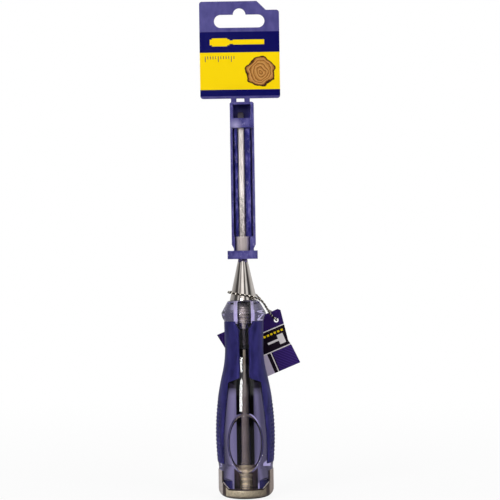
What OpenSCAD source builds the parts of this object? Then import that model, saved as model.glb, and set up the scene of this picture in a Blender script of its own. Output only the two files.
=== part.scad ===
// Through-tang wood chisel with a clear handle, shown with its blade guard, hanger and tag.
// Millimetres. The origin is the middle of the strike face, +Z runs to the cutting edge, -Y is the front.

/* [Blade] */
// Width of the cutting edge
blade_w = 4; // [3:0.5:6]
// Thickness of the blade
blade_t = 5; // [4:0.1:6]
// Length of the blade from the shoulder to the edge
blade_len = 85.3; // [60:0.1:120]
// Angle of the ground bevel
bevel_angle = 25; // [20:1:40]
// Radius of the round shoulder
shoulder_r = 4.6; // [4:0.1:5]
// Length of the round shoulder
shoulder_len = 13; // [8:0.1:18]
// Length of the round neck under the shoulder
neck_len = 2.3; // [1:0.1:6]
// Radius of the neck
neck_r = 3.1; // [2.5:0.1:3.5]
// Length of the polished bolster cone
cone_len = 28.5; // [20:0.5:40]
// Radius of the cone where it sits on the handle
cone_r = 9.4; // [8:0.1:9.6]

/* [Core] */
// Radius of the steel rod in the handle
rod_r = 4; // [3.5:0.1:4.4]
// Radius of the knurled tang in the collar
tang_r = 4.6; // [4.5:0.1:5.5]
// Length of the knurled tang below the collar top
tang_len = 15.4; // [12:0.1:18]
// Length of the dark coupling sleeve
sleeve_len = 11; // [8:0.5:16]
// Distance from the knurled tang down to the sleeve
sleeve_drop = 3.5; // [2:0.1:6]
// Radius of the spigots inside the sleeve
spigot_r = 2.5; // [2:0.1:3]
// Radius of the ribbed anchor
anchor_r = 5.35; // [4.8:0.05:5.6]
// Length of the ribbed anchor
anchor_len = 15.7; // [12:0.1:20]
// Number of grooves in the anchor
anchor_grooves = 4; // [2:1:6]
// Depth of the anchor and tang grooves
groove_depth = 0.7; // [0.3:0.1:1]
// Number of grooves in the knurled tang
knurl_grooves = 6; // [3:1:6]
// Pitch of the grooves in the knurled tang
knurl_pitch = 1.6; // [1:0.1:1.7]

/* [Handle] */
// Length of the handle from the strike face to the collar top
handle_len = 133.8; // [128:0.1:148]
// Greatest radius of the handle
belly_r = 20.25; // [19.5:0.05:21]
// Height of the greatest radius
belly_z = 42.6; // [38:0.1:48]
// Radius of the belly curve along the handle
belly_arc = 175; // [160:1:190]
// Smallest radius of the handle, at the waist
waist_r = 13.1; // [12:0.1:14]
// Height of the waist
waist_z = 101.6; // [98:0.1:104]
// Radius of the handle just under the collar
throat_r = 13.5; // [13:0.1:14]
// Height of the straight foot above the ears of the cap
foot_lip = 2; // [1:0.1:3]
// Greatest radius of the clear collar
collar_r = 15.2; // [14.5:0.1:16]
// Radius of the collar's flat top
collar_top_r = 10.6; // [10:0.1:11.5]
// Height of the collar
collar_len = 13.6; // [12:0.1:15]
// Height of the collar's widest line above its underside
collar_rim = 5.4; // [5:0.1:6]
// Rounding of the collar's rim
collar_round = 9; // [8.6:0.1:10]

/* [Grips] */
// Thickness of the soft grips
grip_t = 2.2; // [1.5:0.1:3]
// Height of the lower ends of the grips
grip_bottom = 23.7; // [22:0.1:30]
// Half width of the upper window
window_half = 3.4; // [2.5:0.1:5]
// Half width of the upper window's flared top
flare_half = 6.8; // [5.5:0.1:8]
// Height of the flare
flare_h = 6.2; // [4:0.1:8]
// Height of the step between the two windows
step_z = 81.9; // [77:0.1:88]
// How far the step slants down
step_slant = 3; // [1:0.1:5]
// Half width of the lower window at its top
window_top_half = 11.3; // [10:0.1:12.5]
// Half width of the lower window halfway down
window_mid_half = 13.6; // [13:0.1:14.5]
// Half width of the lower window at its foot
window_low_half = 15.2; // [14.8:0.1:16]
// Height of the middle of the lower window
window_mid_z = 60; // [54:1:65]
// How far the clear windows lie below the grips
window_recess = 0.4; // [0.2:0.1:0.8]

/* [Strike cap] */
// Radius of the steel strike cap
cap_r = 18.85; // [18.5:0.05:19.2]
// Height of the cap's side ears
cap_h = 19; // [16:0.1:21]
// Thickness of the cap's floor
cap_floor = 7.4; // [6:0.1:9]
// Half width between the ears
cap_half = 15.3; // [14.5:0.1:15.5]
// Rounding of the cap's lower edge
cap_round = 6; // [3:0.5:6]
// Chamfer inside the cap's corners
cap_chamfer = 3.9; // [2:0.1:5]
// Distance from the middle to the inner side of a cushion pad
pad_in = 8.4; // [7.8:0.1:9.5]
// Radius of the cushion pads' round outer side
pad_r = 14.8; // [13.5:0.1:15]
// Height of the cushion pads
pad_h = 5; // [3:0.1:7]

/* [Guard] */
// Width of the guard channel
guard_w = 16.4; // [15.5:0.1:20]
// Width of the guard where it necks in above the flange
guard_neck_w = 13.6; // [13:0.1:15]
// Wall thickness of the guard
guard_wall = 1.6; // [1.2:0.1:1.7]
// How far the channel stands to the right of the blade
guard_shift = 0.9; // [0:0.1:1.1]
// Cut corners at the top of the channel
guard_corner = 1; // [0.5:0.1:1.5]
// Height of the notch in the side walls under the bridge
notch_h = 4.3; // [2:0.1:6]
// Depth of that notch
notch_d = 3; // [1:0.1:4]
// Open channel between the side walls and the inner ribs
rib_gap = 1.3; // [0.8:0.1:1.8]
// Depth of the guard's side walls in front of the blade's middle
guard_front = 5; // [4.6:0.1:7]
// Width of the foot flange
flange_w = 20.5; // [18:0.1:26]
// Height of the foot flange
flange_h = 5.7; // [3:0.1:7]
// Height of the narrow neck above the flange
guard_neck_h = 1.4; // [0.5:0.1:3]
// Height of the slope from the neck to the full width
guard_slope_h = 2.8; // [1:0.1:4]
// Distance from the shoulder seat down to the bottom of the flange
flange_drop = 15.4; // [14:0.1:15.5]
// Height of the front bridge
bridge_h = 6.5; // [4:0.1:9]
// Distance from the top of the bridge up to the edge of the blade
bridge_drop = 4.5; // [2:0.1:8]
// Width of the pocket over the cutting edge
pocket_w = 12; // [9:0.1:12.4]
// Free room past the cutting edge
tip_room = 4.9; // [3:0.1:10]

/* [Hanger] */
// Width of the hanger plate
plate_w = 55; // [50:1:70]
// Height of the hanger plate
plate_h = 67; // [64:1:80]
// Thickness of the hanger plate
plate_t = 1.5; // [1:0.1:2]
// Corner rounding of the plate
plate_round = 2; // [1:0.1:3]
// Height of the step in the plate's top edge
step_h = 6.2; // [4:0.1:8]
// Distance from the right side to the step
step_w = 15.3; // [12:0.1:20]
// Length of the hinge straps
strap_len = 3.4; // [2:0.1:5]
// Width of one hinge strap
strap_w = 3.8; // [2.5:0.1:4.5]
// Free width between the straps
strap_gap = 5.4; // [4:0.1:7]
// Width of the hang slot
slot_w = 34.8; // [32:0.1:40]
// Height of the hang slot
slot_h = 9; // [8:0.1:10]
// Distance from the plate's top edge down to the middle of the slot
slot_drop = 13.7; // [13:0.1:18]
// Radius of the raised middle of the slot
slot_bump_r = 4.35; // [4:0.05:5]
// Height of the label
label_h = 44.2; // [40:0.1:46]
// Distance from the plate's bottom edge up to the label
label_lift = 1.7; // [1:0.1:4]
// Thickness of the label
label_t = 0.15; // [0.1:0.05:0.3]

/* [Tag and chain] */
// Width of the hang tag
tag_w = 47.6; // [44:0.1:52]
// Height of the hang tag
tag_h = 40.5; // [36:0.1:42]
// How far each side of the tag pinches in at its waist
tag_pinch = 3.4; // [2:0.1:5]
// Distance from the tag's top to its waist
tag_waist = 23; // [18:0.1:26]
// How far each side of the tag stands in at its hips, just below the waist
tag_hip_in = 2.5; // [1:0.1:4]
// Distance from the waist to the hips
tag_hip_drop = 4; // [2:0.1:8]
// How far each side of the tag stands in at its foot
tag_foot_in = 1.7; // [0:0.1:3]
// Cut corner of the tag by its hole
tag_corner = 1.5; // [0.5:0.1:3]
// Thickness of the tag
tag_t = 0.5; // [0.3:0.1:0.8]
// Tilt of the tag as it hangs
tag_tilt = 22.4; // [15:0.1:28]
// Distance from the tag's hole to its right side
tag_hole_side = 5.5; // [4:0.1:8]
// Distance from the tag's hole to its top
tag_hole_top = 6.8; // [4:0.1:8]
// Radius of the tag's hole
tag_hole_r = 1.6; // [1.4:0.1:2]
// Diameter of the chain
chain_d = 1.7; // [1.4:0.1:2]
// Diameter of the clasp
clasp_d = 2.4; // [2:0.1:2.6]

/* [Fits] */
// Gap between parts that are moulded or pressed together
fit = 0.05; // [0.03:0.01:0.1]
// Gap between the cap and the handle
cap_fit = 0.1; // [0.05:0.05:0.2]
// Gap between the blade and the guard that slides over it
slide_fit = 0.5; // [0.3:0.1:0.8]
// Gap where the guard rests on the shoulder
rest_fit = 0.1; // [0.05:0.05:0.3]
// Gap under the round ends of the hinge straps
hinge_fit = 0.1; // [0.05:0.05:0.3]

/* [Hidden] */
$fn = 96;
steel = "silver";
dark_steel = "dimgray";
grip_blue = [0.14, 0.14, 0.4];
guard_blue = [0.3, 0.27, 0.55];
far = 60;
eps = 0.01;

// Heights along the chisel
anchor_top = cap_floor + anchor_len;
tang_z = handle_len - tang_len;
sleeve_top = tang_z - sleeve_drop;
sleeve_z = sleeve_top - sleeve_len;
collar_z = handle_len - collar_len;
cone_top = handle_len + cone_len;
shoulder_z = cone_top + neck_len;
shoulder_top = shoulder_z + shoulder_len;
tip_z = shoulder_top + blade_len;

// The belly and waist curves of the handle touch where the line between their centres crosses both
curve_dz = waist_z - belly_z;
curve_dr = belly_r - waist_r;
curve_sum = (curve_dz * curve_dz + curve_dr * curve_dr) / (2 * curve_dr);
waist_arc = curve_sum - belly_arc;
touch_z = belly_z + curve_dz * belly_arc / curve_sum;
// A short straight stretch joins the two curves there
straight_half = 1.5;
straight_z = touch_z - straight_half;
straight_top = touch_z + straight_half;

// Collar rim, a circle that touches the greatest radius
rim_z = collar_z + collar_rim;
rim_slope = (collar_r - collar_top_r) / (handle_len - rim_z);

// Guard and hanger heights and depths
guard_z = shoulder_top + rest_fit - flange_drop;
rib_z = shoulder_top + rest_fit;
pocket_top = tip_z + tip_room;
guard_top = pocket_top + guard_wall;
back_y = shoulder_r + slide_fit;
bridge_top = tip_z - bridge_drop;
hinge_y = back_y + guard_wall / 2;
hinge_z = guard_top + hinge_fit + plate_t / 2;
plate_z = guard_top + strap_len;
plate_top = plate_z + plate_h;

// Chain route from one end of the clasp, round the neck, through the tag's hole and back to the clasp
chain_route = [
  [-0.5, 10.5, 139.5], [-4, 9.6, 139.6], [-7.5, 6.8, 139.7], [-9.8, 2.6, 139.7], [-9.8, -2, 139.6],
  [-7.8, -6, 139.2], [-4.6, -8.5, 138.7], [-0.8, -9.6, 138.2], [3.2, -9.2, 137.4], [6.8, -7.6, 136.5],
  [9.6, -5.4, 135.3], [12.1, -2.6, 133.6], [14.2, 0.6, 131.3], [15.8, 4.2, 128.7], [17, 8.4, 126.2],
  [18.8, 13, 123.4], [21.2, 16.8, 120.6], [22.6, 18.6, 119.2], [23.2, 20.2, 119.9], [23.2, 21.1, 122],
  [22.2, 21.4, 124], [20.2, 21.4, 124.9], [18.2, 21.3, 125.3], [16.6, 20.8, 126.7], [15.6, 18.7, 128.3],
  [14.7, 16.2, 130.1], [13.3, 13.9, 132.3], [11.2, 12.2, 134.8], [9, 11.1, 137.1], [6.8, 10.6, 138.9]];
chain_sides = 8;
tag_hole_at = chain_route[17];
clasp_from = chain_route[0];
clasp_to = chain_route[len(chain_route) - 1];

function unit(v) = v / norm(v);
function tangent(p, i) = unit(p[min(i + 1, len(p) - 1)] - p[max(i - 1, 0)]);

// Carries one sideways direction along the route without twisting it
function carried(p, n, i = 0) =
  i == len(p) ? [] :
  let (t = tangent(p, i), m = unit(n - (n * t) * t))
  concat([m], carried(p, m, i + 1));

// Radius of the belly curve and of the waist curve at a height, moved inwards by inset
function belly_at(z, inset) =
  belly_r - belly_arc + sqrt(pow(belly_arc - inset, 2) - pow(z - belly_z, 2));
function waist_at(z, inset) =
  waist_r + waist_arc - sqrt(pow(waist_arc + inset, 2) - pow(z - waist_z, 2));

// Half outline of the handle below the collar, moved inwards by inset
module handle_half(inset) {
  intersection() {
    translate([0, cap_floor]) square([far, straight_z - cap_floor]);
    union() {
      translate([belly_r - belly_arc, belly_z]) circle(belly_arc - inset, $fn = 720);
      square([cap_r - inset, cap_h + foot_lip]);
    }
  }
  polygon([[0, straight_z],
           [belly_at(straight_z, inset), straight_z],
           [waist_at(straight_top, inset), straight_top],
           [0, straight_top]]);
  difference() {
    translate([0, straight_top]) square([belly_r, waist_z - straight_top]);
    translate([waist_r + waist_arc, waist_z]) circle(waist_arc + inset, $fn = 720);
  }
  polygon([[0, waist_z],
           [waist_r - inset, waist_z],
           [throat_r - inset, collar_z],
           [0, collar_z]]);
}

// Half outline of the clear collar
module collar_half() {
  intersection() {
    translate([collar_r - collar_round, rim_z]) circle(collar_round);
    polygon([[0, collar_z],
             [collar_r + rim_slope * (rim_z - collar_z), collar_z],
             [collar_top_r, handle_len],
             [0, handle_len]]);
  }
}

// Front view of the right grip, with its free edges moved outwards by gap
module grip_zone(gap) {
  top = collar_z - fit + gap;
  polygon([[flare_half - gap, top],
           [window_half - gap, collar_z - flare_h],
           [window_half - gap, step_z - gap],
           [window_top_half - gap, step_z - step_slant - gap],
           [window_mid_half - gap, window_mid_z],
           [window_low_half - gap, belly_z],
           [window_low_half - gap, grip_bottom - gap],
           [far, grip_bottom - gap],
           [far, top]]);
}

// A front-view outline pushed through the whole depth
module through_depth() {
  rotate([90, 0, 0]) linear_extrude(2 * far, center = true) children();
}

// A ring groove around a bar of the given radius
module ring_groove(z, bar_r, width, depth) {
  translate([0, 0, z])
    rotate_extrude()
      polygon([[bar_r - depth, 0], [bar_r + eps, -width / 2], [bar_r + eps, width / 2]]);
}

// Front view of the space between the cap's ears, moved inwards by gap
module cap_space(gap) {
  half = cap_half - gap;
  foot = cap_floor + gap;
  polygon([[-half, foot + cap_chamfer],
           [-half + cap_chamfer, foot],
           [half - cap_chamfer, foot],
           [half, foot + cap_chamfer],
           [half, far],
           [-half, far]]);
}

module blade() {
  color(steel) {
    // Blade with its ground bevel, seen from the side
    rotate([90, 0, 90])
      linear_extrude(blade_w, center = true)
        polygon([[-blade_t / 2, shoulder_top - eps],
                 [blade_t / 2, shoulder_top - eps],
                 [blade_t / 2, tip_z],
                 [-blade_t / 2, tip_z - blade_t / tan(bevel_angle)]]);
    // Shoulder, neck and bolster
    translate([0, 0, shoulder_z]) cylinder(h = shoulder_len, r = shoulder_r);
    translate([0, 0, cone_top - eps]) cylinder(h = neck_len + 2 * eps, r = neck_r);
    translate([0, 0, handle_len]) cylinder(h = cone_len, r1 = cone_r, r2 = neck_r);
    // Knurled tang inside the collar
    difference() {
      translate([0, 0, tang_z]) cylinder(h = tang_len + eps, r = tang_r);
      for (i = [1 : knurl_grooves])
        ring_groove(tang_z + i * knurl_pitch, tang_r, knurl_pitch, groove_depth);
    }
    // Plain tang and its spigot in the sleeve
    translate([0, 0, sleeve_top]) cylinder(h = sleeve_drop + eps, r = rod_r);
    translate([0, 0, sleeve_z + sleeve_len / 2 + fit])
      cylinder(h = sleeve_len / 2, r = spigot_r);
  }
}

module tang_sleeve() {
  color(dark_steel)
    difference() {
      translate([0, 0, sleeve_z + fit]) cylinder(h = sleeve_len - 2 * fit, r = rod_r);
      translate([0, 0, sleeve_z - 1]) cylinder(h = sleeve_len + 2, r = spigot_r + fit);
    }
}

module core_rod() {
  color(steel) {
    translate([0, 0, anchor_top + fit]) cylinder(h = sleeve_z - anchor_top - fit, r = rod_r);
    translate([0, 0, sleeve_z - eps])
      cylinder(h = sleeve_len / 2 - fit, r = spigot_r);
  }
}

module anchor() {
  pitch = anchor_len / (anchor_grooves + 1);
  color("darkkhaki") {
    difference() {
      translate([0, 0, cap_floor]) cylinder(h = anchor_len, r = anchor_r);
      for (i = [1 : anchor_grooves])
        ring_groove(cap_floor + i * pitch, anchor_r, pitch / 2, groove_depth);
    }
    translate([0, 0, cap_floor / 2 + fit]) cylinder(h = cap_floor / 2, r = spigot_r);
  }
}

module handle_core() {
  color([0.6, 0.55, 0.75, 0.5])
    difference() {
      union() {
        rotate_extrude() handle_half(window_recess);
        rotate_extrude() collar_half();
      }
      // Pockets under the two soft grips
      difference() {
        for (turn = [0, 180])
          rotate([0, 0, turn])
            through_depth() grip_zone(fit);
        rotate_extrude() handle_half(grip_t + fit);
      }
      // Foot that stands between the ears of the strike cap
      difference() {
        translate([-far, -far, 0]) cube([2 * far, 2 * far, cap_h + cap_fit]);
        through_depth() cap_space(cap_fit);
      }
      // Pockets for the two cushion pads in the corners of the cap
      cushion_pads(fit);
      // Stepped bore for the anchor, the rod and the tang
      cylinder(h = anchor_top + fit, r = anchor_r + fit);
      cylinder(h = handle_len, r = rod_r + fit);
      translate([0, 0, tang_z - fit]) cylinder(h = tang_len + 1, r = tang_r + fit);
    }
}

module grip() {
  color(grip_blue)
    intersection() {
      difference() {
        rotate_extrude() handle_half(0);
        rotate_extrude() handle_half(grip_t);
      }
      through_depth() grip_zone(0);
    }
}

module grip_right() {
  grip();
}

module grip_left() {
  rotate([0, 0, 180]) grip();
}

// The two pads in the corners of the cap, grown by gap
module cushion_pads(gap) {
  intersection() {
    translate([0, 0, cap_floor]) cylinder(h = fit + pad_h + gap, r = pad_r + gap);
    through_depth() cap_space(fit - gap);
    for (side = [-1, 1])
      translate([side * (pad_in - gap + far / 2), 0, 0]) cube([far, 2 * far, far], center = true);
  }
}

module cap_cushion() {
  color(grip_blue) cushion_pads(0);
}

module strike_cap() {
  color(steel)
    difference() {
      rotate_extrude() {
        translate([0, cap_round]) square([cap_r, cap_h - cap_round]);
        square([cap_r - cap_round, cap_h]);
        intersection() {
          translate([cap_r - cap_round, cap_round]) circle(cap_round);
          square([cap_r, cap_h]);
        }
      }
      through_depth() cap_space(0);
      // Blind bore for the anchor's spigot
      translate([0, 0, cap_floor / 2]) cylinder(h = far, r = spigot_r + fit);
    }
}

// A bar of the guard, centred on X, from one depth and height to another
module guard_bar(w, y0, y1, z0, z1) {
  translate([-w / 2, y0, z0]) cube([w, y1 - y0, z1 - z0]);
}

module blade_guard() {
  flange_depth = back_y + guard_wall;
  groove_w = blade_w + 2 * slide_fit;
  rib_reach = guard_w / 2 - guard_wall - rib_gap;
  flange_top = guard_z + flange_h;
  neck_top = flange_top + guard_neck_h;
  slope_top = neck_top + guard_slope_h;
  bridge_z = bridge_top - bridge_h;
  color(guard_blue) {
    difference() {
      union() {
        // Channel outline, necked in above the flange
        rotate([90, 0, 0])
          translate([guard_shift, 0, -back_y - guard_wall])
            linear_extrude(back_y + guard_wall + guard_front)
              polygon([[-guard_neck_w / 2, guard_z],
                       [guard_neck_w / 2, guard_z],
                       [guard_neck_w / 2, neck_top],
                       [guard_w / 2, slope_top],
                       [guard_w / 2, guard_top - guard_corner],
                       [guard_w / 2 - guard_corner, guard_top],
                       [-guard_w / 2 + guard_corner, guard_top],
                       [-guard_w / 2, guard_top - guard_corner],
                       [-guard_w / 2, slope_top],
                       [-guard_neck_w / 2, neck_top]]);
        guard_bar(flange_w, -flange_depth, flange_depth, guard_z, flange_top);
      }
      // Room for the shoulder block and groove for the blade
      translate([0, 0, guard_z - 1]) cylinder(h = rib_z - guard_z + 1, r = back_y);
      guard_bar(2 * back_y, -far, back_y, flange_top, rib_z);
      guard_bar(groove_w, -guard_front + guard_wall, back_y, rib_z, pocket_top);
      // Open front of the channel, notches under the bridge and the pocket over the edge
      translate([guard_shift, 0, 0]) {
        guard_bar(guard_w - 2 * guard_wall, -far, back_y, rib_z - eps, bridge_z);
        guard_bar(far, -far, -guard_front + notch_d, bridge_z - notch_h, bridge_z);
        guard_bar(pocket_w, -far, back_y, bridge_top, pocket_top);
      }
    }
    // Two ribs that guide the blade and rest on the shoulder
    for (side = [-1, 1]) {
      rib_in = side * groove_w / 2;
      rib_out = side * rib_reach + guard_shift;
      translate([(rib_in + rib_out) / 2, 0, 0])
        guard_bar(abs(rib_out - rib_in), -blade_t / 4, back_y + eps, rib_z, bridge_z + eps);
    }
  }
}

module hanger_plate() {
  slot_z = plate_top - slot_drop;
  bump_z = slot_z + slot_h / 2;
  strap_x = (strap_gap + strap_w) / 2;
  color(guard_blue)
    translate([0, hinge_y, 0])
      difference() {
        union() {
          plate_body(plate_t);
          for (side = [-1, 1])
            translate([side * strap_x, 0, 0]) {
              translate([-strap_w / 2, -plate_t / 2, hinge_z])
                cube([strap_w, plate_t, plate_z - hinge_z + eps]);
              translate([-strap_w / 2, 0, hinge_z])
                rotate([0, 90, 0])
                  cylinder(h = strap_w, r = plate_t / 2);
            }
        }
        // Hang slot with a raised middle
        through_depth() {
          translate([0, slot_z]) square([slot_w - slot_h, slot_h], center = true);
          for (side = [-1, 1])
            translate([side * (slot_w - slot_h) / 2, slot_z]) circle(slot_h / 2);
          translate([0, bump_z]) circle(slot_bump_r);
        }
      }
}

// Plate with rounded corners and a slanted step in its top right corner
module plate_body(t) {
  half = plate_w / 2;
  low_top = plate_top - step_h;
  rotate([90, 0, 0])
    linear_extrude(t, center = true) {
      translate([-half + plate_round, plate_z]) square([plate_w - 2 * plate_round, low_top - plate_z]);
      translate([-half, plate_z + plate_round])
        square([plate_w, low_top - plate_z - 2 * plate_round]);
      polygon([[-half, low_top - 2 * plate_round],
               [half - step_w + step_h, low_top - 2 * plate_round],
               [half - step_w + step_h, low_top],
               [half - step_w, plate_top],
               [-half + plate_round, plate_top],
               [-half, plate_top - plate_round]]);
      for (corner = [[-1, plate_z, 1], [1, plate_z, 1], [1, low_top, -1], [-1, plate_top, -1]])
        translate([corner[0] * (half - plate_round), corner[1] + corner[2] * plate_round])
          circle(plate_round);
    }
}

module label() {
  color("gold")
    translate([-plate_w / 2, hinge_y - plate_t / 2 - label_t, plate_z + label_lift])
      cube([plate_w, label_t, label_h]);
}

module tag_chain() {
  normals = carried(chain_route, [0, 0, 1]);
  last = len(chain_route) - 1;
  points = [for (i = [0 : last], k = [0 : chain_sides - 1])
    let (t = tangent(chain_route, i), n = normals[i], a = 360 * k / chain_sides)
    chain_route[i] + chain_d / 2 * (cos(a) * n + sin(a) * cross(t, n))];
  walls = [for (i = [0 : last - 1], k = [0 : chain_sides - 1])
    let (m = (k + 1) % chain_sides, a = i * chain_sides, b = a + chain_sides)
    [a + k, b + k, b + m, a + m]];
  ends = [[for (k = [0 : chain_sides - 1]) k],
          [for (k = [chain_sides - 1 : -1 : 0]) last * chain_sides + k]];
  color(dark_steel) polyhedron(points, concat(walls, ends));
}

module chain_clasp() {
  along = clasp_to - clasp_from;
  length = norm(along);
  turn = atan2(along[1], along[0]);
  rise = asin(along[2] / length);
  color(dark_steel)
    translate(clasp_from)
      rotate([0, 90 - rise, turn])
        cylinder(h = length, r = clasp_d / 2);
}

module hang_tag() {
  half = tag_w / 2;
  color("rebeccapurple")
    translate(tag_hole_at)
      rotate([0, -tag_tilt, 0])
        translate([tag_hole_side - half, 0, tag_hole_top])
          rotate([90, 0, 0])
            linear_extrude(tag_t, center = true)
              difference() {
                polygon([[-half, 0],
                         [half - tag_corner, 0],
                         [half, -tag_corner],
                         [half - tag_pinch, -tag_waist],
                         [half - tag_hip_in, -tag_waist - tag_hip_drop],
                         [half - tag_foot_in, -tag_h],
                         [-half + tag_foot_in, -tag_h],
                         [-half + tag_hip_in, -tag_waist - tag_hip_drop],
                         [-half + tag_pinch, -tag_waist]]);
                translate([half - tag_hole_side, -tag_hole_top]) circle(tag_hole_r);
              }
}

blade();
tang_sleeve();
core_rod();
anchor();
handle_core();
grip_left();
grip_right();
cap_cushion();
strike_cap();
blade_guard();
hanger_plate();
label();
tag_chain();
chain_clasp();
hang_tag();
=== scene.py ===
from math import acos, ceil, cos, exp, hypot, inf, pi, radians, sin, sqrt, tan

import bpy
import numpy as np
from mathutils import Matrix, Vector


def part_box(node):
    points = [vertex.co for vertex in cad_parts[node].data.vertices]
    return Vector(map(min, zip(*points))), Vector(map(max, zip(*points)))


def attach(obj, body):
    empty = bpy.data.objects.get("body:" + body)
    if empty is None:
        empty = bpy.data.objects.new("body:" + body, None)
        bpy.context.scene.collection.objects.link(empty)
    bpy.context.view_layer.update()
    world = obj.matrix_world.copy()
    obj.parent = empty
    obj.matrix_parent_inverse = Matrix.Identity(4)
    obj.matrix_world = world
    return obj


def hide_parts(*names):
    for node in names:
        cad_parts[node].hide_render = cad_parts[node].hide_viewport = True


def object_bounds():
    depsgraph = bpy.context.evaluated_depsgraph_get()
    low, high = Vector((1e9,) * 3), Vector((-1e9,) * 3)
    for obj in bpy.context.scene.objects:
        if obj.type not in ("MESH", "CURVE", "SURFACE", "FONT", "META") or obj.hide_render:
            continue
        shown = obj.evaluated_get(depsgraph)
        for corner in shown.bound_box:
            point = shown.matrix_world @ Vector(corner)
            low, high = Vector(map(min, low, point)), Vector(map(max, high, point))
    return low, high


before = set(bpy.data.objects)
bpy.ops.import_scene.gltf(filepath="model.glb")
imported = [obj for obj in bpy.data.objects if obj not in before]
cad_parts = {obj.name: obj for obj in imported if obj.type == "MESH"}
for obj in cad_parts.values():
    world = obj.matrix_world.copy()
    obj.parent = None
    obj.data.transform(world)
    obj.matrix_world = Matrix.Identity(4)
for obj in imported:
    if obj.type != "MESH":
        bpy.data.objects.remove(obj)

cad_low, cad_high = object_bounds()

# Lengths are in millimetres, as in the part's source, and meshes in metres.
MM = 0.001

# Longest step along a straight side of an outline
LONGEST_STEP = 1.5

# Fillets: the share of a side that one may take, and the smallest that is made
FILLET_SHARE = 0.45
LEAST_HALF_TURN = radians(8)
LEAST_REACH = 1e-4
AXIS_R = 1e-6

# Picture and camera
PHOTO_PIXELS = 500
PIXELS_PER_MM = 1.46
CAMERA_DISTANCE = 1000
CAMERA_ROLL = 0.88
VIEW_X = 5.05
VIEW_Z = 168.35

# Handle curve, as the part's source has it
BELLY_Z = 42.6
BELLY_ARC = 175
WAIST_R = 13.1
WAIST_Z = 101.6
THROAT_R = 13.5
STRAIGHT_HALF = 1.5
FOOT_LIP = 2
WINDOW_RECESS = 0.4
FIT = 0.05
CAP_FIT = 0.1

# Clear collar
COLLAR_R = 15.2
COLLAR_TOP_R = 10.6
COLLAR_RIM = 5.4
COLLAR_ROUND = 9

# Points of the handle's mesh, up its parts and round it
FOOT_ROWS = 24
OVAL_ROWS = 140
NECK_ROWS = 70
COLLAR_ROWS = 28
OVAL_COLUMNS = 110
BACK_COLUMNS = 142

# Bores of the handle and what stands in them
ROD_R = 4
ROD_EDGE = 0.3
TANG_R = 4.6
TANG_LEN = 15.4
TANG_PLAIN = 3.5
SPIGOT_R = 2.5
SLEEVE_EDGE = 0.4
KNURL_GROOVES = 6
KNURL_PITCH = 1.6
KNURL_WIDTH = 1.4
KNURL_EDGE = 0.25
GROOVE_DEPTH = 0.7
ANCHOR_R = 5.35
ANCHOR_LEN = 15.7
ANCHOR_GROOVES = 4
RIB_SHARE = 0.8
RIB_DEPTH = 0.6
RIB_EDGE = 0.9
TURNED_SIDES = 96
TURNED_STEPS = 3

# Painted shade on the steel in the bores, from and to along an axis or below its top
ROD_SHADES = [("X", 1, 3), ("X", -2, -3.6)]
ROD_DARK_TOP = (3.6, 3.2)
TANG_SHADES = [("X", 2.4, 3.2), ("X", -2.2, -3)]
TANG_DARK_TOP = (8, 2.5)

# Share of a bore's width, from left to right, that a painted reflection film leaves clear
FILM_CLEAR = (-0.62, 0.62)
TANG_PALE_SIDE = (-0.69, 0.8)
TANG_DARK_SIDE = (-1, 0.67)

# Strike cap and the painted shadow lines, shade and highlight on it
CAP_HALF = 15.3
CAP_CHAMFER = 3.9
CAP_FLOOR = 7.4
SLANT_LINE = CAP_HALF - CAP_CHAMFER - CAP_FLOOR
# Painted shadow along the cap's edges where it meets the handle: its reach and soft edge
EDGE_SHADOW_REACH = 0.8
EDGE_SHADOW_SOFT = 0.4
# Half width of the painted highlight on the chamfer
CHAMFER_HIGHLIGHT = 0.45
# Painted light: the cap's front is lit left of this and shaded towards the right
LIT_X = -3
EAR_SOFT = 0.5
# Painted shadow in the seam beside each ear
SEAM_SHADOW = (CAP_HALF - 1.4, CAP_HALF + 0.4)
# Painted shade on the cap's lower rim, with a wavering edge
RIM_SHADE = (1.2, 2.8)
RIM_WAVER = 0.4

# Blade
CONE_R = 9.4
CONE_LEN = 28.5
NECK_R = 3.1
NECK_LEN = 2.3
SHOULDER_R = 4.6
SHOULDER_LEN = 13
FORGED_EDGE = 0.5
FORGED_SIDES = 160
BLADE_SEAT = 1
BLADE_W = 4
BLADE_T = 5
BLADE_EASE = 0.6
BEVEL_ANGLE = 25
STAIN = (180, 202)
STAIN_SOFT = 8

# Bare oval outline moulded into the handle's front
OVAL_Z = 38.3
OVAL_HALF_W = 11.4
OVAL_HALF_H = 19.9
OVAL_GROOVE = 0.55
OVAL_DEPTH = 0.9
OVAL_REACH = radians(40)

# Soft grips and the windows between them
GRIP_T = 2.2
GRIP_EDGE = 0.9
WINDOW_LOW = 15.2
WINDOW_MID = 13.6
WINDOW_TOP = 11.3
WINDOW_SLIM = 3.4
WINDOW_FLARE = 6.8
WINDOW_MID_Z = 60
STEP_Z = 81.9
STEP_SLANT = 3
FLARE_H = 6.2
CORNER_EASE = 0.5
EASE_SAMPLES = 9
# Painted shade in the window's upper corners under the grips' step: the heights it fades in over, and its
# reach from the middle
STEP_SHADE = (70.5, 75.5)
STEP_SHADE_SIDE = (4, 5)
GRIP_ROWS = 280
GRIP_COLUMNS = 101
INNER_COLUMNS = 13
NUB_PITCH = 2.6
NUB_R = 1.1
NUB_DEPTH = 0.35
NUB_LOW = 30
NUB_HIGH = 62
NUB_REACH = 9
NUB_FADE_Z = 6
NUB_FADE_ARC = 3

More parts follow.
